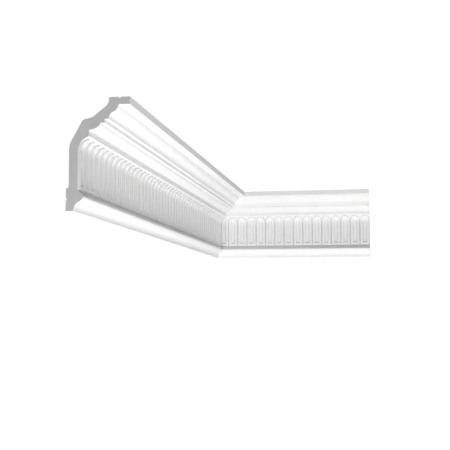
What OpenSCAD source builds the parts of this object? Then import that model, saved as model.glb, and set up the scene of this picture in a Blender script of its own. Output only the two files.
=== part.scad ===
// Fluted cornice moulding: a long length and a short length that meet in a
// mitre at an inside corner of a room. Millimetres, +Z up. The walls are the
// planes x = 0 and y = 0, and the origin is where both walls meet the bottom
// edge of the moulding. The long length runs along -Y, the short one along +X.

/* [Overall] */
// Height from the bottom edge to the ceiling
height = 167; // [150:1:220]
// Projection along the ceiling, from the wall to the top fillet
projection = 96; // [92:1:130]
// Length of the long run, from the wall corner to its square end
long_run = 1183; // [400:1:1500]
// Length of the short run, from the wall corner to its square end
short_run = 415; // [200:1:900]

/* [Lands] */
// Width of the land that is glued to the ceiling
ceiling_land = 32; // [24:0.5:40]
// Height of the land that is glued to the wall
wall_land = 34; // [24:0.5:40]
// Depth of the hollow behind the frieze
back_recess = 4; // [2:0.5:7]
// Radius of the fillet at the foot of the hollow
recess_fillet = 2.5; // [1:0.25:3.5]
// Width of the V groove for glue in each land
glue_groove_w = 4.2; // [2:0.2:6]
// Depth of the V groove for glue in each land
glue_groove_depth = 2.4; // [1:0.2:4]

/* [Hollow] */
// How far the hollow runs straight up above the springing of the cove
knee_rise = 11; // [4:0.5:16]
// How far the hollow's lower shoulder lies behind the fillet over the flutes
shoulder_back = 9.4; // [8:0.2:14]
// Height of that shoulder above the foot of the ovolo
shoulder_rise = 16; // [13:0.5:18]
// How far the hollow's upper shoulder lies behind the ovolo
shelf_back = 12.7; // [12:0.1:16]
// Height of the upper shoulder above the lower one
shelf_rise = 2.3; // [1:0.1:4]
// Width of the slanting lip behind the ceiling land
lip_w = 3.3; // [2:0.1:5]
// Height of that lip
lip_h = 12; // [10:0.5:14]

/* [Crown] */
// Height of the top fillet
top_fillet_h = 11.3; // [8:0.1:14]
// How far the top fillet leans back over its height
top_fillet_lean = 1; // [0:0.1:2]
// Width of the soffit under the top fillet
crown_soffit_w = 17; // [12:0.5:20]
// Width of the upper cyma reversa
crown_cyma_w = 14.4; // [11:0.2:17]
// Height of the upper cyma reversa
crown_cyma_h = 20.9; // [17:0.1:25]
// Width of the step under the upper cyma
step_w = 5.8; // [4:0.2:8]
// Height of the step under the upper cyma
step_h = 5.7; // [4:0.1:8]
// Width of the soffit over the ovolo
ovolo_soffit_w = 6.8; // [5:0.2:9]
// Height of the ovolo
ovolo_h = 9.8; // [8:0.1:13]
// Radius of the tight turn at the front of the ovolo
ovolo_nose_r = 6; // [4:0.25:7]
// Height of the fillet over the flutes
neck_fillet_h = 9.2; // [7:0.1:12]

/* [Frieze] */
// Distance from the wall to the ground of the frieze
frieze_d = 17.5; // [14:0.5:19]
// Distance from the wall to the fillet over the flutes
neck_d = 34; // [30:0.5:36]
// Radius of the cove between the frieze and that fillet
cove_r = 23.7; // [20:0.1:28]

/* [Foot] */
// Height of the weathering that slopes up to the frieze
weathering_h = 8.5; // [6:0.1:11]
// Width of the weathering
weathering_w = 8.9; // [6:0.1:11]
// Height of the small upright edge under the weathering
foot_edge_h = 2.6; // [1.5:0.1:4]
// Height of the lower cyma reversa
foot_cyma_h = 19.9; // [16:0.1:24]
// Width of the lower cyma reversa
foot_cyma_w = 15; // [12:0.1:17]
// Slope of the lower cyma at its middle, from the vertical
foot_cyma_slope = 62; // [56:1:68]

/* [Tongues] */
// Distance from one tongue to the next
pitch = 25; // [20:0.5:32]
// How far the tongues stand proud of the frieze
relief = 4; // [2:0.25:5]
// Width of the V groove between two tongues, at their faces
groove_face_w = 3; // [1:0.1:4]
// Width of that groove at the frieze
groove_ground_w = 0.5; // [0.2:0.1:0.9]
// How far the groove is cut below the ground
quirk = 0.2; // [0.1:0.1:0.5]
// Gap between the tip of a tongue and the fillet over it
tip_gap = 1.5; // [0.5:0.1:3]
// Height of the foot of the tongues over the weathering
tongue_foot_gap = 0.8; // [0:0.1:3]
// Width of the sunk channel in each tongue
channel_w = 11.5; // [8:0.5:15]
// Width of the channel's floor
channel_floor_w = 6.4; // [4:0.2:8]
// Depth of the sunk channel
channel_depth = 3; // [1:0.25:3.25]
// Height of the solid band under the channel
channel_foot_h = 5; // [3:0.5:12]
// How far the channel runs up past the foot of the cove
channel_rise = 3; // [1:0.5:6]
// How far the long run's square end lies past the last full tongue's groove
long_end_offset = 0; // [0:0.5:12]
// How far the short run's square end lies past the last full tongue's groove
short_end_offset = 0; // [0:0.5:12]

/* [Hidden] */
$fn = 96;
over = 5;             // how far each cut runs past the surface it opens
cove_margin = 0.1;    // how much deeper and wider the grooves are round the cove
groove_overrun = 4.5; // how far the grooves run up past the springing of the heads
body_color = [0.93, 0.93, 0.92];

// Levels, measured up from the bottom edge
top_fillet_z = height - top_fillet_h;
cyma_foot_z = top_fillet_z - crown_cyma_h;
step_foot_z = cyma_foot_z - step_h;
ovolo_foot_z = step_foot_z - ovolo_h;
neck_z = ovolo_foot_z - neck_fillet_h;
foot_edge_z = foot_cyma_h + foot_edge_h;
weathering_z = foot_edge_z + weathering_h;

// Distances from the wall
crown_d = projection - top_fillet_lean - crown_soffit_w;
cyma_foot_d = crown_d - crown_cyma_w;
step_d = cyma_foot_d - step_w;
ovolo_d = step_d - ovolo_soffit_w;
foot_d = frieze_d + weathering_w;
bottom_d = foot_d - foot_cyma_w;
ceiling_land_d = projection - ceiling_land;

// The cove: its axis runs along the moulding, and angles are measured up from
// the horizontal through it, towards the wall
cove_axis_d = frieze_d + cove_r;
cove_end_angle = acos((cove_axis_d - neck_d) / cove_r);
cove_axis_z = neck_z - cove_r * sin(cove_end_angle);

// The arched head of a tongue is half round from the front, and as wide as
// the tongue halfway down its sides
face_r = cove_r - relief;
head_r = pitch / 2 - (groove_face_w + groove_ground_w) / 4;
head_z = neck_z - tip_gap - head_r;
groove_end_angle = asin((head_z + groove_overrun - cove_axis_z) / face_r);

// The foot of the tongues, and the foot of the channels in them
tongue_foot_z = weathering_z + tongue_foot_gap;
channel_foot_z = tongue_foot_z + channel_foot_h;

function unit(v) = v / norm(v);

// Centre of the arc from p to q that leaves q along the unit direction t, and
// has its centre on the right of that direction
function arc_centre(p, q, t) =
    let (n = [t[1], -t[0]]) q + n * norm(q - p) * norm(q - p) / (2 * (p - q) * n);

// Points and centres of the upper S curve, which has two equal arcs
crown_slope = 2 * atan(crown_cyma_w / crown_cyma_h);
crown_r = crown_cyma_h / (2 * sin(crown_slope));
crown_top = [crown_d, top_fillet_z];
crown_foot = [cyma_foot_d, cyma_foot_z];
crown_mid = (crown_top + crown_foot) / 2;
crown_round_centre = crown_top - [crown_r, 0];
crown_hollow_centre = crown_foot + [crown_r, 0];

// Points and centres of the ovolo: a tight turn, then a flat one
ovolo_top = [ovolo_d, step_foot_z];
ovolo_foot = [neck_d, ovolo_foot_z];
ovolo_run = ovolo_d - neck_d - ovolo_nose_r;
ovolo_flat_r =
    (pow(ovolo_run, 2) + pow(ovolo_h, 2) - pow(ovolo_nose_r, 2)) / (2 * (ovolo_h - ovolo_nose_r));
ovolo_nose_centre = ovolo_top - [ovolo_nose_r, 0];
ovolo_flat_centre = ovolo_foot + [0, ovolo_flat_r];
ovolo_mid = ovolo_flat_centre + ovolo_flat_r * unit(ovolo_nose_centre - ovolo_flat_centre);

// Points and centres of the lower S curve: two thirds of its height are hollow
foot_hollow_h = foot_cyma_h * 2 / 3;
foot_hollow_r = foot_hollow_h / sin(foot_cyma_slope);
foot_top = [foot_d, foot_cyma_h];
foot_mid = [bottom_d + foot_hollow_r * (1 - cos(foot_cyma_slope)), foot_hollow_h];
foot_end = [bottom_d, 0];
foot_hollow_centre = foot_end + [foot_hollow_r, 0];
foot_round_centre = arc_centre(foot_top, foot_mid, [-sin(foot_cyma_slope), -cos(foot_cyma_slope)]);

// The face of the tongues, and points round the cove
face_d = frieze_d + relief;
cove_axis = [cove_axis_d, cove_axis_z];
function cove_point(r, angle) = [cove_axis_d - r * cos(angle), cove_axis_z + r * sin(angle)];

// Points on the arc from p to q about a centre, without its two ends
function arc(centre, p, q, steps = 8) =
    let (
        r = norm(p - centre),
        from = atan2(p[1] - centre[1], p[0] - centre[0]),
        turn = atan2(q[1] - centre[1], q[0] - centre[0]) - from,
        sweep = turn > 180 ? turn - 360 : turn < -180 ? turn + 360 : turn
    )
    [for (i = [1 : steps - 1]) centre + r * [cos(from + sweep * i / steps), sin(from + sweep * i / steps)]];

// The moulding's section, down the front and up the back. The tongues' faces
// are one band, which the fillet over them runs down to.
module section() {
    face_end = cove_point(face_r, acos((cove_axis_d - neck_d) / face_r));
    land_fillet_d = back_recess - recess_fillet;
    land_fillet_z = wall_land + recess_fillet;
    glue_d = projection - ceiling_land / 2;
    glue_z = wall_land / 2;
    polygon(concat(
        [[projection, height], [projection - top_fillet_lean, top_fillet_z], crown_top],
        arc(crown_round_centre, crown_top, crown_mid),
        [crown_mid],
        arc(crown_hollow_centre, crown_mid, crown_foot),
        [crown_foot, [step_d, cyma_foot_z], [step_d, step_foot_z], ovolo_top],
        arc(ovolo_nose_centre, ovolo_top, ovolo_mid),
        [ovolo_mid],
        arc(ovolo_flat_centre, ovolo_mid, ovolo_foot, 5),
        [ovolo_foot, [neck_d, ovolo_foot_z], face_end],
        arc(cove_axis, face_end, cove_point(face_r, 0), 12),
        [cove_point(face_r, 0), [face_d, tongue_foot_z], [frieze_d, tongue_foot_z]],
        [[frieze_d, weathering_z], [foot_d, foot_edge_z], foot_top],
        arc(foot_round_centre, foot_top, foot_mid),
        [foot_mid],
        arc(foot_hollow_centre, foot_mid, foot_end),
        [foot_end, [0, 0]],
        [[0, glue_z - glue_groove_w / 2], [glue_groove_depth, glue_z], [0, glue_z + glue_groove_w / 2]],
        [[0, wall_land], [land_fillet_d, wall_land]],
        arc([land_fillet_d, land_fillet_z], [land_fillet_d, wall_land], [back_recess, land_fillet_z], 4),
        [[back_recess, land_fillet_z], [back_recess, cove_axis_z + knee_rise]],
        [[neck_d - shoulder_back, ovolo_foot_z + shoulder_rise]],
        [[ovolo_d - shelf_back, ovolo_foot_z + shoulder_rise + shelf_rise]],
        [[ceiling_land_d - lip_w, height - lip_h], [ceiling_land_d, height - lip_h / 2]],
        [[ceiling_land_d, height], [glue_d - glue_groove_w / 2, height]],
        [[glue_d, height - glue_groove_depth], [glue_d + glue_groove_w / 2, height]]
    ));
}

// Turns a shape about the cove's axis: x is the distance from the axis and y
// the distance along it
module round_cove(from, to) {
    translate([cove_axis_d, 0, cove_axis_z]) rotate([90, 0, 0]) rotate([0, 0, 180 - to])
        rotate_extrude(angle = to - from) children();
}

// Section of the groove between two tongues, x out of the frieze, with a
// margin added to its depth and to each side
module groove_section(margin) {
    widening = (groove_face_w - groove_ground_w) / 2 / relief;
    floor_half_w = groove_ground_w / 2 + margin;
    mouth_half_w = floor_half_w + widening * (relief + 1);
    depth = quirk + margin;
    polygon([
        [-depth, -floor_half_w], [relief + 1, -mouth_half_w],
        [relief + 1, mouth_half_w], [-depth, floor_half_w]
    ]);
}

// The groove at the distance s from the corner, up the frieze
module groove(s) {
    translate([frieze_d, -s, weathering_z + tongue_foot_gap / 2])
        linear_extrude(cove_axis_z - weathering_z - tongue_foot_gap / 2) groove_section(0);
}

// The same groove round the cove, to a little past the springing of the heads
module cove_groove(s) {
    translate([0, -s, 0]) round_cove(-3, groove_end_angle)
        translate([cove_r, 0]) mirror([1, 0]) groove_section(cove_margin);
}

// The arched head of the tongue at the distance s from the corner
module head(s) {
    translate([0, -s, head_z]) rotate([0, 90, 0]) cylinder(h = cove_axis_d, r = head_r);
}

// What is cut away over and between the arched heads
module spandrels(count, first, run) {
    difference() {
        intersection() {
            translate([0, over, 0]) round_cove(5, cove_end_angle + over)
                translate([face_r - 1, 0]) square([relief + 1, run + 2 * over]);
            translate([0, -run - 3 * over, head_z]) cube([projection, run + 5 * over, height]);
        }
        for (i = [0 : count]) head(first + i * pitch);
    }
}

// Section of the channel, x out of the frieze from its floor
module channel_section() {
    side = (channel_w - channel_floor_w) / 2 / channel_depth;
    mouth_half_w = channel_floor_w / 2 + side * (channel_depth + 2);
    polygon([
        [0, -channel_floor_w / 2], [channel_depth + 2, -mouth_half_w],
        [channel_depth + 2, mouth_half_w], [0, channel_floor_w / 2]
    ]);
}

// The channel of the tongue at the distance s from the corner, from below its
// stop to its flat top
module channel(s) {
    translate([face_d - channel_depth, -s, channel_foot_z - over])
        linear_extrude(cove_axis_z - channel_foot_z + over + channel_rise) channel_section();
}

// The sloping stop that keeps the foot of every channel solid
module channel_stop(run) {
    translate([0, over, 0]) rotate([90, 0, 0]) linear_extrude(run + 2 * over)
        polygon([
            [face_d + over, channel_foot_z - over], [face_d - over, channel_foot_z + over],
            [0, channel_foot_z], [0, tongue_foot_z - 2 * over], [face_d + over, tongue_foot_z - 2 * over]
        ]);
}

// Everything on the side of the mitre where the length lies
module mitre_block(run) {
    reach = projection + over;
    translate([0, 0, -over]) linear_extrude(height + 2 * over)
        polygon([[-over, over], [reach, -reach], [reach, -run - over], [-over, -run - over]]);
}

// The plain length with its arched heads and the grooves between the tongues
module grooved_blank(first, count, run) {
    difference() {
        difference() {
            difference() {
                translate([0, over, 0]) rotate([90, 0, 0]) linear_extrude(run + over) section();
                spandrels(count, first - count * pitch, run);
            }
            for (i = [0 : count]) cove_groove(first + pitch / 2 - i * pitch);
        }
        for (i = [0 : count]) groove(first + pitch / 2 - i * pitch);
    }
}

// A length from its square end to the mitre. The tongues are set out from the
// square end, and the mitre cuts through those in the corner.
module moulding(run, end_offset) {
    first = run - end_offset - pitch / 2;
    count = ceil((run - frieze_d) / pitch);
    intersection() {
        difference() {
            grooved_blank(first, count, run);
            difference() {
                for (i = [0 : count - 1]) channel(first - i * pitch);
                channel_stop(run);
            }
        }
        mitre_block(run);
    }
}

module long_length() {
    color(body_color) moulding(long_run, long_end_offset);
}

module short_length() {
    color(body_color) mirror([1, 1, 0]) moulding(short_run, short_end_offset);
}

long_length();
short_length();
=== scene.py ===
import bpy
import bmesh
import math
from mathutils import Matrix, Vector


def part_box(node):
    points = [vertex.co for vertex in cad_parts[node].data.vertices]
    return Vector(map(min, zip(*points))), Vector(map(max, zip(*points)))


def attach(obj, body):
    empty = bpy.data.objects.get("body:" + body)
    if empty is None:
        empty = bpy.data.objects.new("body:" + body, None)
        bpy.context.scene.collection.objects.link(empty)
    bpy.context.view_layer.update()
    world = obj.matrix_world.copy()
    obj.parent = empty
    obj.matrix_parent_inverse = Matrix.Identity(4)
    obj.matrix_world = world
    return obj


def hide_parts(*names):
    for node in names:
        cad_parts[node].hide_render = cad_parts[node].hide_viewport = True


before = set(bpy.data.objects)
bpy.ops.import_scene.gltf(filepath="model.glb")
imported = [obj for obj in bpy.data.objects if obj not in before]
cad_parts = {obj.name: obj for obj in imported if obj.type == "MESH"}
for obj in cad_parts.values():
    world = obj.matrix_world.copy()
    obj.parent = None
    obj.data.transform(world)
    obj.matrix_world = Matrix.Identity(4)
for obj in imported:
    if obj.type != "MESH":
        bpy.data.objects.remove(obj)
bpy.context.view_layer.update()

# ---------------------------------------------------------------- design, in millimetres
# d is the distance from the wall, z the height over the bottom edge, s the distance from the
# wall corner along a length, and a the distance along it from the middle of a tongue.
LONG_BOX = [corner * 1000 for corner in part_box("long_length")]
SHORT_BOX = [corner * 1000 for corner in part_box("short_length")]
LENGTHS = {"long_length": -LONG_BOX[0].y, "short_length": SHORT_BOX[1].x}
HEIGHT = LONG_BOX[1].z
PROJECTION = LONG_BOX[1].x

# the lands that meet the wall and the ceiling, and the V grooves for glue in them
WALL_LAND = 34.0
WALL_GROOVE_Z = 17.0
CEILING_LAND_D = 64.0
CEILING_GROOVE_D = 80.0
GLUE_GROOVE_DEPTH = 2.4
GLUE_GROOVE_HALF_W = 2.1

# the hollow between the lands; its shoulders are (d, z, rounding)
BACK_RECESS = 4.0
RECESS_FILLET = 2.5
KNEE_RISE = 11.0
KNEE_ROUND = 6.0
SHOULDERS = [(24.6, 135.3, 3.0), (38.3, 137.6, 5.0), (60.7, 155.0, 2.0), (CEILING_LAND_D, 161.0, 1.5)]

# the members of the front, downwards, each curve from its top (d, z) to its foot (d, z)
TOP_FILLET_LEAN = 1.0
CROWN_TOP, CROWN_FOOT = (78.0, 155.7), (63.6, 134.8)
STEP_D = 57.8
OVOLO_TOP, OVOLO_FOOT = (51.0, 129.1), (34.0, 119.3)
OVOLO_NOSE_R = 6.0
MEMBERS_END_Z = 118.2
WEATHER_Z = 31.0
WEATHER_FOOT_Z = 22.5
CYMA_TOP, CYMA_FOOT = (26.4, 19.9), (11.4, 0.0)
CYMA_HOLLOW_H = CYMA_TOP[1] * 2 / 3
CYMA_SLOPE = math.radians(62)

# how far the rounding of a corner reaches
ARRIS = 0.5
EDGE = 0.6
GROOVE_LIP = 0.4
WEATHER_ROUND = 0.7

# the cove between the frieze and the fillet over the tongues
FRIEZE_D = 17.5
NECK_D = 34.0
NECK_Z = 110.1
NECK_ARRIS = 0.55
COVE_R = 23.7
AXIS_D = FRIEZE_D + COVE_R
COVE_END = math.acos((AXIS_D - NECK_D) / COVE_R)
AXIS_Z = NECK_Z - COVE_R * math.sin(COVE_END)

# the tongues
PITCH = 25.0
RELIEF = 4.0
TONGUE_Z = 31.8
FACE_HALF_W = 11.0
GROUND_HALF_W = 12.25
TAPER = (GROUND_HALF_W - FACE_HALF_W) / RELIEF
# heights of the middle of a round head, on the ground and on the face
GROUND_SPRING_Z = 96.35
FACE_SPRING_Z = 95.3
FACE_TIP_Z = FACE_SPRING_Z + FACE_HALF_W
# how much thinner a head is at its tip
TIP_LOSS = 1.7
CHANNEL_FOOT_Z = TONGUE_Z + 5.0
CHANNEL_STOP_H = 3.1
# a distance from the middle line that lies outside the channel and inside the sides
CHANNEL_REACH = 9.0

# how finely curves are drawn
LONG_ARC_STEPS = 9
NOSE_ARC_STEPS = 8
FLAT_ARC_STEPS = 6
FILLET_ARC_STEPS = 4
SOFT_CORNER_STEPS = 4
COVE_ROWS = 6
SPOKES = 28
CORNER_SPOKE = SPOKES // 4

# rows across the foot of a tongue: (height over the foot, how far the face is cut back there)
FOOT_ROWS = ((0.0, 1.3), (0.14, 0.8), (0.45, 0.38), (0.85, 0.12), (1.4, 0.0))
# heights of the rows over the channel's foot
CHANNEL_ROWS = (-0.5, 0.0, 0.4, 0.9, 1.4, 1.9, 2.4, 2.8, 3.1, 3.6, 5.0, 14.0, 26.0, 38.0)
# where the rows of the ground lie between a tongue's edge and the edge of its field
SPANDREL = (0.35, 0.7)


# ---------------------------------------------------------------- section
def soften(path):
    """Rounds each (d, z, size) corner of an open path with a short curve."""
    out = []
    for i, (d, z, size) in enumerate(path):
        if size <= 0 or i in (0, len(path) - 1):
            out.append((d, z))
            continue
        p = Vector((d, z))
        before = Vector(path[i - 1][:2]) - p
        after = Vector(path[i + 1][:2]) - p
        cut = min(size, 0.45 * before.length, 0.45 * after.length)
        start = p + before.normalized() * cut
        end = p + after.normalized() * cut
        out += [bend(start, p, end, k / SOFT_CORNER_STEPS) for k in range(SOFT_CORNER_STEPS + 1)]
    return out


def bend(start, corner, end, t):
    """The point at t, from 0 to 1, on the curve that rounds a corner from start to end."""
    return tuple(start * (1 - t) ** 2 + corner * 2 * t * (1 - t) + end * t * t)


def arc(centre, p, q, steps):
    """Points on the arc from p to q, without its ends, as smooth corners."""
    r = math.dist(centre, p)
    a = math.atan2(p[1] - centre[1], p[0] - centre[0])
    b = math.atan2(q[1] - centre[1], q[0] - centre[0])
    sweep = (b - a + math.pi) % (2 * math.pi) - math.pi
    angles = [a + sweep * i / steps for i in range(1, steps)]
    return [(centre[0] + r * math.cos(t), centre[1] + r * math.sin(t), 0.0) for t in angles]


def cove(r, angle):
    """(d, z) on a circle round the axis of the cove, where angle 0 is towards the wall."""
    return AXIS_D - r * math.cos(angle), AXIS_Z + r * math.sin(angle)


def crown_curve():
    """The upper cyma reversa, downwards: two equal arcs."""
    w, h = CROWN_TOP[0] - CROWN_FOOT[0], CROWN_TOP[1] - CROWN_FOOT[1]
    r = h / (2 * math.sin(2 * math.atan(w / h)))
    mid = ((CROWN_TOP[0] + CROWN_FOOT[0]) / 2, (CROWN_TOP[1] + CROWN_FOOT[1]) / 2)
    path = arc((CROWN_TOP[0] - r, CROWN_TOP[1]), CROWN_TOP, mid, LONG_ARC_STEPS)
    return path + [(*mid, 0)] + arc((CROWN_FOOT[0] + r, CROWN_FOOT[1]), mid, CROWN_FOOT, LONG_ARC_STEPS)


def ovolo_curve():
    """The ovolo, downwards: a tight turn, then a flat one."""
    run = OVOLO_TOP[0] - OVOLO_FOOT[0] - OVOLO_NOSE_R
    h = OVOLO_TOP[1] - OVOLO_FOOT[1]
    flat_r = (run ** 2 + h ** 2 - OVOLO_NOSE_R ** 2) / (2 * (h - OVOLO_NOSE_R))
    nose_c = (OVOLO_TOP[0] - OVOLO_NOSE_R, OVOLO_TOP[1])
    flat_c = (OVOLO_FOOT[0], OVOLO_FOOT[1] + flat_r)
    mid = tuple(Vector(flat_c) + (Vector(nose_c) - Vector(flat_c)).normalized() * flat_r)
    path = arc(nose_c, OVOLO_TOP, mid, NOSE_ARC_STEPS)
    return path + [(*mid, 0)] + arc(flat_c, mid, OVOLO_FOOT, FLAT_ARC_STEPS)


def cyma_curve():
    """The lower cyma reversa, downwards: a round arc, then a hollow one twice as high."""
    hollow_r = CYMA_HOLLOW_H / math.sin(CYMA_SLOPE)
    mid = (CYMA_FOOT[0] + hollow_r * (1 - math.cos(CYMA_SLOPE)), CYMA_HOLLOW_H)
    out = (-math.cos(CYMA_SLOPE), math.sin(CYMA_SLOPE))
    chord = Vector(mid) - Vector(CYMA_TOP)
    k = chord.length_squared / (2 * (-chord.x * out[0] - chord.y * out[1]))
    path = arc((mid[0] + out[0] * k, mid[1] + out[1] * k), CYMA_TOP, mid, LONG_ARC_STEPS)
    hollow_c = (CYMA_FOOT[0] + hollow_r, CYMA_FOOT[1])
    return path + [(*mid, 0)] + arc(hollow_c, mid, CYMA_FOOT, LONG_ARC_STEPS)


def plain_members():
    """The section from the weathering down, up the back, and down to the fillet over the tongues."""
    fillet_d, fillet_z = BACK_RECESS - RECESS_FILLET, WALL_LAND + RECESS_FILLET
    knee_z = AXIS_Z + KNEE_RISE
    path = [(FRIEZE_D, WEATHER_Z, 0), (CYMA_TOP[0], WEATHER_FOOT_Z, WEATHER_ROUND), (*CYMA_TOP, ARRIS)]
    path += cyma_curve() + [(*CYMA_FOOT, EDGE)]
    # wall land with its glue groove
    path += [(0, 0, EDGE), (0, WALL_GROOVE_Z - GLUE_GROOVE_HALF_W, GROOVE_LIP)]
    path += [(GLUE_GROOVE_DEPTH, WALL_GROOVE_Z, ARRIS)]
    path += [(0, WALL_GROOVE_Z + GLUE_GROOVE_HALF_W, GROOVE_LIP), (0, WALL_LAND, ARRIS)]
    # hollow
    path += [(fillet_d, WALL_LAND, 0)]
    path += arc((fillet_d, fillet_z), (fillet_d, WALL_LAND), (BACK_RECESS, fillet_z), FILLET_ARC_STEPS)
    path += [(BACK_RECESS, fillet_z, 0), (BACK_RECESS, knee_z, KNEE_ROUND)] + SHOULDERS
    # ceiling land with its glue groove
    path += [(CEILING_LAND_D, HEIGHT, ARRIS), (CEILING_GROOVE_D - GLUE_GROOVE_HALF_W, HEIGHT, GROOVE_LIP)]
    path += [(CEILING_GROOVE_D, HEIGHT - GLUE_GROOVE_DEPTH, ARRIS)]
    path += [(CEILING_GROOVE_D + GLUE_GROOVE_HALF_W, HEIGHT, GROOVE_LIP)]
    # down the front
    path += [(PROJECTION, HEIGHT, ARRIS), (PROJECTION - TOP_FILLET_LEAN, CROWN_TOP[1], EDGE)]
    path += [(*CROWN_TOP, ARRIS)] + crown_curve() + [(*CROWN_FOOT, ARRIS)]
    path += [(STEP_D, CROWN_FOOT[1], EDGE), (STEP_D, OVOLO_TOP[1], EDGE), (*OVOLO_TOP, ARRIS)]
    path += ovolo_curve() + [(*OVOLO_FOOT, EDGE), (NECK_D, MEMBERS_END_Z, 0)]
    return soften(path)


# ---------------------------------------------------------------- tongues
# (distance from the middle line, depth below the face) from the middle of a tongue to the groove
RINGS = [
    # the channel's floor and its wall
    (0.0, 3.0), (1.5, 3.0), (2.7, 2.98), (3.2, 2.8), (3.7, 2.35), (4.6, 1.35), (5.3, 0.52), (5.62, 0.18),
    # the face and its arris
    (6.0, 0.0), (8.4, 0.0), (10.3, 0.0), (10.72, 0.06), (FACE_HALF_W, 0.25),
    # the sloping side, then the floor of the groove
    *((FACE_HALF_W + TAPER * sunk, sunk) for sunk in (0.6, 1.8, 3.0, 3.5)), (12.21, 3.86),
    (12.34, RELIEF), (PITCH / 2, RELIEF),
]
FACE_INNER_RING = 8


def ground(z):
    """The distance from the wall of the frieze and the cove."""
    return AXIS_D - math.sqrt(COVE_R ** 2 - (z - AXIS_Z) ** 2) if z > AXIS_Z else FRIEZE_D


def face(z):
    """The distance from the wall of a tongue's face."""
    rise = min(z, FACE_TIP_Z) - AXIS_Z
    if rise <= 0:
        return FRIEZE_D + RELIEF
    r = COVE_R - RELIEF + TIP_LOSS * (rise / (FACE_TIP_Z - AXIS_Z)) ** 2
    return AXIS_D - math.sqrt(r ** 2 - rise ** 2)


def raised(k, rise, psi):
    """(a, d, z) on ring k.

    rise runs from 0 at the foot of the cove to 1 at the springing, and psi is the angle round the head.
    """
    rho, sunk = RINGS[k]
    t = min(1.0, sunk / RELIEF) if k > FACE_INNER_RING else 0.0
    spring = FACE_SPRING_Z + (GROUND_SPRING_Z - FACE_SPRING_Z) * t
    z = AXIS_Z + (spring - AXIS_Z) * rise + rho * math.sin(psi)
    a = rho * math.cos(psi)
    if k > FACE_INNER_RING:
        return a, face(z) * (1 - t) + ground(z) * t, z
    d = face(z)
    out = Vector((AXIS_D - d, AXIS_Z - z)).normalized() if z > AXIS_Z else Vector((1.0, 0.0))
    return a, d - sunk * out.x, z - sunk * out.y


NECK_START = cove(COVE_R, COVE_END - NECK_ARRIS / COVE_R)
RIM_RISE = NECK_START[1] - GROUND_SPRING_Z


def neck_rows():
    """The soft arris between the cove and the fillet over it, upwards, as (d, z)."""
    corner, end = Vector((NECK_D, NECK_Z)), Vector((NECK_D, NECK_Z + NECK_ARRIS))
    return [bend(Vector(NECK_START), corner, end, t) for t in (0.25, 0.5, 0.75, 1.0)]


def rim(j):
    """(a, height over the springing) where spoke j meets the edge of the tongue's own field."""
    half = PITCH / 2
    if j <= CORNER_SPOKE:
        return half, RIM_RISE * math.tan(math.pi / 4 * j / CORNER_SPOKE)
    if j <= SPOKES - CORNER_SPOKE:
        return half / math.tan(math.pi * j / SPOKES), RIM_RISE
    return -half, RIM_RISE * math.tan(math.pi / 4 * (SPOKES - j) / CORNER_SPOKE)


def unit_cell():
    """One tongue: its (a, d, z) points, its faces, its bottom edge and its top edge."""
    pts, faces, index = [], [], {}

    def add(a, d, z):
        key = (round(a, 5), round(d, 5), round(z, 5))
        if key not in index:
            index[key] = len(pts)
            pts.append((a, d, z))
        return index[key]

    def quad(*loop):
        kept = [v for i, v in enumerate(loop) if v != loop[i - 1]]
        if len(set(kept)) >= 3 and len(set(kept)) == len(kept):
            faces.append(kept)

    def quads_between(rows):
        for low, high in zip(rows, rows[1:]):
            for i in range(len(low) - 1):
                quad(low[i], low[i + 1], high[i + 1], high[i])

    # columns from one edge of the field to the other: (side, ring, a, depth), ring None on the ground
    last = len(RINGS) - 1
    ground_edge, field_edge = RINGS[last - 1][0], RINGS[last][0]
    half = [(k, *RINGS[k]) for k in range(1, last)]
    half += [(None, ground_edge + (field_edge - ground_edge) * t, RELIEF) for t in SPANDREL]
    half.append((last, *RINGS[last]))
    columns = [(-1, *c) for c in reversed(half)] + [(1, 0, *RINGS[0])] + [(1, *c) for c in half]
    flat = [(side * a, sunk) for side, _, a, sunk in columns]

    rows = [[add(a, FRIEZE_D, TONGUE_Z) for a, _ in flat]]
    for rise, back in FOOT_ROWS:
        row = [(a, (sunk if abs(a) > CHANNEL_REACH else 0) + back) for a, sunk in flat]
        rows.append([add(a, FRIEZE_D + RELIEF - min(RELIEF, sunk), TONGUE_Z + rise) for a, sunk in row])
    for rise in CHANNEL_ROWS:
        stop = max(0.0, rise) if rise < CHANNEL_STOP_H else RELIEF
        row = [(a, min(sunk, stop) if abs(a) < CHANNEL_REACH else sunk) for a, sunk in flat]
        rows.append([add(a, FRIEZE_D + RELIEF - sunk, CHANNEL_FOOT_Z + rise) for a, sunk in row])
    for i in range(COVE_ROWS + 1):
        rise = i / COVE_ROWS
        row = []
        for side, k, a, _ in columns:
            if k is None:
                z = AXIS_Z + (GROUND_SPRING_Z - AXIS_Z) * rise
                row.append(add(side * a, ground(z), z))
            else:
                across, d, z = raised(k, rise, 0.0)
                row.append(add(side * across, d, z))
        rows.append(row)
    quads_between(rows)

    # the arched head and the ground round it
    spokes = []
    for j in range(SPOKES + 1):
        line = [raised(k, 1.0, math.pi * j / SPOKES) for k in range(last)]
        edge_a, _, edge_z = line[-1]
        rim_a, rim_rise = rim(j)
        for t in SPANDREL + (1.0,):
            z = edge_z + (GROUND_SPRING_Z + rim_rise - edge_z) * t
            line.append((edge_a + (rim_a - edge_a) * t, ground(z), z))
        spokes.append([add(*p) for p in line])
    quads_between(spokes)
    tops = [[s[-1] for s in spokes[CORNER_SPOKE:SPOKES - CORNER_SPOKE + 1]]]
    for d, z in neck_rows():
        tops.append([add(pts[v][0], d, z) for v in tops[0]])
    quads_between(tops)
    return pts, faces, rows[0], tops[-1]


MEMBERS = plain_members()
CELL = unit_cell()

# ---------------------------------------------------------------- lengths
MERGE_M = 2e-6
END_TOLERANCE_M = 1e-6
MITRE_TOLERANCE_M = 1e-7
SHARP_ANGLE = math.radians(42)


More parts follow.
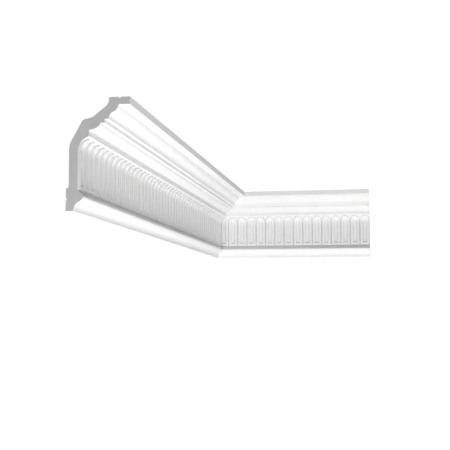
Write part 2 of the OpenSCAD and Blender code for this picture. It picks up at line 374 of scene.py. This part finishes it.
def closed_loop(edges):
    """The vertices of a ring of edges, in order."""
    links = {}
    for e in edges:
        a, b = e.verts
        links.setdefault(a, []).append(b)
        links.setdefault(b, []).append(a)
    start = edges[0].verts[0]
    loop, last, here = [start], None, start
    while True:
        nxt = next(v for v in links[here] if v != last)
        if nxt == start:
            return loop
        loop.append(nxt)
        last, here = here, nxt
        if len(loop) > len(links):
            raise RuntimeError("the cut's outline does not close")


def cap(bm, edges):
    """Closes a cut with one face of bare foam."""
    bm.faces.new(closed_loop(edges)).material_index = 1


def length_mesh(run, mirrored):
    """A length from its square end to the mitre, in metres."""
    bm = bmesh.new()

    def place(s, d, z):
        x, y = (s, -d) if mirrored else (d, -s)
        return bm.verts.new((x / 1000, y / 1000, z / 1000))

    # the tongues are set out from the square end and run past the mitre, which cuts them
    count = math.ceil((run - FRIEZE_D) / PITCH) + 1
    stations = [run - PITCH * i for i in range(count + 1)]
    strips = [[place(s, d, z) for d, z in MEMBERS] for s in stations]
    for near, far in zip(strips, strips[1:]):
        for i in range(len(MEMBERS) - 1):
            bm.faces.new((near[i], near[i + 1], far[i + 1], far[i]))
    pts, quads, bottom, top = CELL
    for near, far, s in zip(strips, strips[1:], stations):
        vs = [place(s - PITCH / 2 + a, d, z) for a, d, z in pts]
        for q in quads:
            bm.faces.new([vs[v] for v in q])
        # both edges of the tongue run from the far edge of its field to the near one
        bm.faces.new([vs[v] for v in bottom] + [near[0], far[0]])
        bm.faces.new([vs[v] for v in top] + [far[-1], near[-1]])
    bmesh.ops.remove_doubles(bm, verts=bm.verts, dist=MERGE_M)

    def at_end(v):
        return abs((v.co.x if mirrored else -v.co.y) - run / 1000) < END_TOLERANCE_M

    cap(bm, [e for e in bm.edges if e.is_boundary and all(at_end(v) for v in e.verts)])
    # mitre
    cut = bmesh.ops.bisect_plane(
        bm, geom=list(bm.verts) + list(bm.edges) + list(bm.faces), dist=MITRE_TOLERANCE_M,
        plane_co=(0, 0, 0), plane_no=(-1, -1, 0) if mirrored else (1, 1, 0), clear_outer=True)["geom_cut"]
    cap(bm, [g for g in cut if isinstance(g, bmesh.types.BMEdge) and g.is_boundary])
    bmesh.ops.recalc_face_normals(bm, faces=bm.faces)
    if bm.calc_volume(signed=True) < 0:
        bmesh.ops.reverse_faces(bm, faces=bm.faces)
    for f in bm.faces:
        f.smooth = True
    for e in bm.edges:
        e.smooth = len(e.link_faces) == 2 and e.calc_face_angle(0.0) < SHARP_ANGLE
    return bm


def make_length(node, mirrored, materials):
    bm = length_mesh(LENGTHS[node], mirrored)
    print(node, "open edges", sum(1 for e in bm.edges if len(e.link_faces) != 2),
          "litres", round(bm.calc_volume() * 1000, 4), "triangles", sum(len(f.verts) - 2 for f in bm.faces))
    mesh = bpy.data.meshes.new(node + "_foam")
    bm.to_mesh(mesh)
    bm.free()
    for m in materials:
        mesh.materials.append(m)
    piece = bpy.data.objects.new(node + "_foam", mesh)
    bpy.context.scene.collection.objects.link(piece)
    weigh = piece.modifiers.new("weigh", "WEIGHTED_NORMAL")
    weigh.mode = "FACE_AREA"
    weigh.weight = 50
    weigh.keep_sharp = True
    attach(piece, "root")
    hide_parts(node)


# ---------------------------------------------------------------- materials
def noise(tree, coord, scale, detail):
    n = tree.nodes.new("ShaderNodeTexNoise")
    n.inputs["Scale"].default_value = scale
    n.inputs["Detail"].default_value = detail
    n.inputs["Roughness"].default_value = 0.55
    tree.links.new(coord, n.inputs["Vector"])
    return n.outputs["Fac"]


def remap(tree, value, lo, hi, to_lo, to_hi):
    m = tree.nodes.new("ShaderNodeMapRange")
    m.inputs["From Min"].default_value = lo
    m.inputs["From Max"].default_value = hi
    m.inputs["To Min"].default_value = to_lo
    m.inputs["To Max"].default_value = to_hi
    tree.links.new(value, m.inputs["Value"])
    return m.outputs["Result"]


def ramp(tree, value, stops):
    """The colour at value on a ramp through (position, colour) stops."""
    r = tree.nodes.new("ShaderNodeValToRGB")
    el = r.color_ramp.elements
    el[0].position, el[0].color = stops[0][0], (*stops[0][1], 1)
    el[1].position, el[1].color = stops[-1][0], (*stops[-1][1], 1)
    for pos, colour in stops[1:-1]:
        el.new(pos).color = (*colour, 1)
    tree.links.new(value, r.inputs["Fac"])
    return r.outputs["Color"]


def math_node(tree, op, a, b):
    m = tree.nodes.new("ShaderNodeMath")
    m.operation = op
    for i, v in enumerate((a, b)):
        if isinstance(v, float):
            m.inputs[i].default_value = v
        else:
            tree.links.new(v, m.inputs[i])
    return m.outputs[0]


def weighted_sum(tree, a, share_a, b, share_b):
    first = math_node(tree, "MULTIPLY", a, share_a)
    return math_node(tree, "ADD", first, math_node(tree, "MULTIPLY", b, share_b))


def bump(tree, height, distance, strength, normal=None):
    b = tree.nodes.new("ShaderNodeBump")
    b.inputs["Strength"].default_value = strength
    b.inputs["Distance"].default_value = distance
    tree.links.new(height, b.inputs["Height"])
    if normal is not None:
        tree.links.new(normal, b.inputs["Normal"])
    return b.outputs["Normal"]


def material(name):
    mat = bpy.data.materials.new(name)
    mat.use_nodes = True
    tree = mat.node_tree
    shader = next(n for n in tree.nodes if n.type == "BSDF_PRINCIPLED")
    coord = tree.nodes.new("ShaderNodeTexCoord").outputs["Object"]
    return mat, tree, shader, coord


def primed_foam():
    """White primer, with a faint broad mottling and a fine grain."""
    mat, tree, shader, coord = material("primed_foam")
    mottle = weighted_sum(tree, noise(tree, coord, 14.0, 3.0), 0.75, noise(tree, coord, 900.0, 2.0), 0.25)
    stops = [(0.30, (0.772, 0.772, 0.770)), (0.50, (0.780, 0.780, 0.778)), (0.70, (0.787, 0.787, 0.785))]
    tree.links.new(ramp(tree, mottle, stops), shader.inputs["Base Color"])
    tree.links.new(remap(tree, mottle, 0.3, 0.7, 0.52, 0.66), shader.inputs["Roughness"])
    wave = bump(tree, noise(tree, coord, 30.0, 2.0), distance=0.0001, strength=0.1)
    grain = bump(tree, noise(tree, coord, 1400.0, 2.0), distance=0.00002, strength=0.12, normal=wave)
    tree.links.new(grain, shader.inputs["Normal"])
    shader.inputs["IOR"].default_value = 1.45
    shader.inputs["Specular IOR Level"].default_value = 0.25
    return mat


def cut_foam():
    """Bare foam at a cut, with its cells and the marks of the saw."""
    mat, tree, shader, coord = material("cut_foam")
    cells = tree.nodes.new("ShaderNodeTexVoronoi")
    cells.inputs["Scale"].default_value = 1100.0
    tree.links.new(coord, cells.inputs["Vector"])
    saw = noise(tree, coord, 60.0, 4.0)
    pits = remap(tree, cells.outputs["Distance"], 0.0, 0.8, 0.0, 1.0)
    stops = [(0.25, (0.55, 0.55, 0.547)), (0.50, (0.60, 0.60, 0.597)), (0.80, (0.635, 0.635, 0.632))]
    tree.links.new(ramp(tree, weighted_sum(tree, saw, 0.6, pits, 0.4), stops), shader.inputs["Base Color"])
    marks = bump(tree, saw, distance=0.0002, strength=0.4)
    rough = bump(tree, pits, distance=0.00006, strength=0.6, normal=marks)
    tree.links.new(rough, shader.inputs["Normal"])
    shader.inputs["Roughness"].default_value = 0.85
    shader.inputs["Specular IOR Level"].default_value = 0.15
    return mat


SKIN_AND_CORE = (primed_foam(), cut_foam())
make_length("long_length", False, SKIN_AND_CORE)
make_length("short_length", True, SKIN_AND_CORE)

# ---------------------------------------------------------------- floor, light and camera, in metres
FLOOR_Z = -2.3
FLOOR_HALF_W = 6.0
SURROUND_LEVEL = 0.65
BEHIND_LEVEL = 1.05
AIM = (0.15, -0.5, 0.08)
# name, place, aim, width, watts
LIGHTS = [
    ("floor_wash", (0.2, -0.6, -1.2), (0.2, -0.6, FLOOR_Z), 16.0, 430.0),
    ("deep_front", (0.4, -1.7, -1.85), AIM, 1.4, 34.0),
    ("low_front_right", (1.6, -1.9, -1.3), AIM, 1.6, 7.0),
    ("low_front", (0.4, -2.7, -1.7), AIM, 1.4, 8.6),
    ("top", (0.3, -0.6, 2.2), AIM, 1.6, 11.5),
    ("back", (-1.9, 1.6, -0.2), AIM, 1.8, 30.0),
]
CAMERA_LENS = 74.06
CAMERA_AT = (0.4639, -2.4651, -0.1480)
CAMERA_YAW = 0.17550
CAMERA_PITCH = 0.09488


def stage_floor():
    mat, tree, shader, coord = material("studio_floor")
    stops = [(0.3, (0.84, 0.84, 0.84)), (0.7, (0.87, 0.87, 0.87))]
    tree.links.new(ramp(tree, noise(tree, coord, 0.8, 3.0), stops), shader.inputs["Base Color"])
    shader.inputs["Roughness"].default_value = 0.9
    mesh = bpy.data.meshes.new("studio_floor")
    z, r = FLOOR_Z, FLOOR_HALF_W
    mesh.from_pydata([(-r, -r, z), (r, -r, z), (r, r, z), (-r, r, z)], [], [(0, 1, 2, 3)])
    mesh.materials.append(mat)
    floor = bpy.data.objects.new("studio_floor", mesh)
    bpy.context.scene.collection.objects.link(floor)


def softbox(name, at, aim, width, watts):
    data = bpy.data.lights.new(name, "AREA")
    data.shape = "RECTANGLE"
    data.size = data.size_y = width
    data.energy = watts
    lamp = bpy.data.objects.new(name, data)
    lamp.location = at
    lamp.rotation_euler = (Vector(aim) - Vector(at)).to_track_quat("-Z", "Y").to_euler()
    bpy.context.scene.collection.objects.link(lamp)


def studio_world():
    """Surroundings that are pale below and beside the object, white behind it and dim overhead."""
    world = bpy.data.worlds.new("studio")
    bpy.context.scene.world = world
    world.use_nodes = True
    tree = world.node_tree
    back = next(n for n in tree.nodes if n.type == "BACKGROUND")
    coord = tree.nodes.new("ShaderNodeTexCoord").outputs["Generated"]
    split = tree.nodes.new("ShaderNodeSeparateXYZ")
    tree.links.new(coord, split.inputs[0])
    _, y, z = split.outputs
    # y and z are those of the direction, so z is 0 at the horizon and y is 1 straight behind
    low = remap(tree, z, 0.45, 0.0, 0.0, SURROUND_LEVEL)
    near_back = remap(tree, y, 0.70, 0.84, 0.0, 1.0)
    behind = math_node(tree, "MULTIPLY", near_back, remap(tree, z, 0.55, 0.40, 0.0, 1.0))
    level = math_node(tree, "MAXIMUM", low, math_node(tree, "MULTIPLY", behind, BEHIND_LEVEL))
    tree.links.new(level, back.inputs["Strength"])
    back.inputs["Color"].default_value = (1, 1, 1, 1)


def place_camera():
    data = bpy.data.cameras.new("camera")
    data.sensor_width = 36.0
    data.lens = CAMERA_LENS
    data.clip_start = 0.05
    camera = bpy.data.objects.new("camera", data)
    flat = math.cos(CAMERA_PITCH)
    look = Vector((-math.sin(CAMERA_YAW) * flat, math.cos(CAMERA_YAW) * flat, math.sin(CAMERA_PITCH)))
    camera.location = CAMERA_AT
    camera.rotation_euler = look.to_track_quat("-Z", "Y").to_euler()
    bpy.context.scene.collection.objects.link(camera)
    bpy.context.scene.camera = camera


stage_floor()
studio_world()
for light in LIGHTS:
    softbox(*light)
place_camera()
bpy.context.scene.view_settings.view_transform = "Standard"
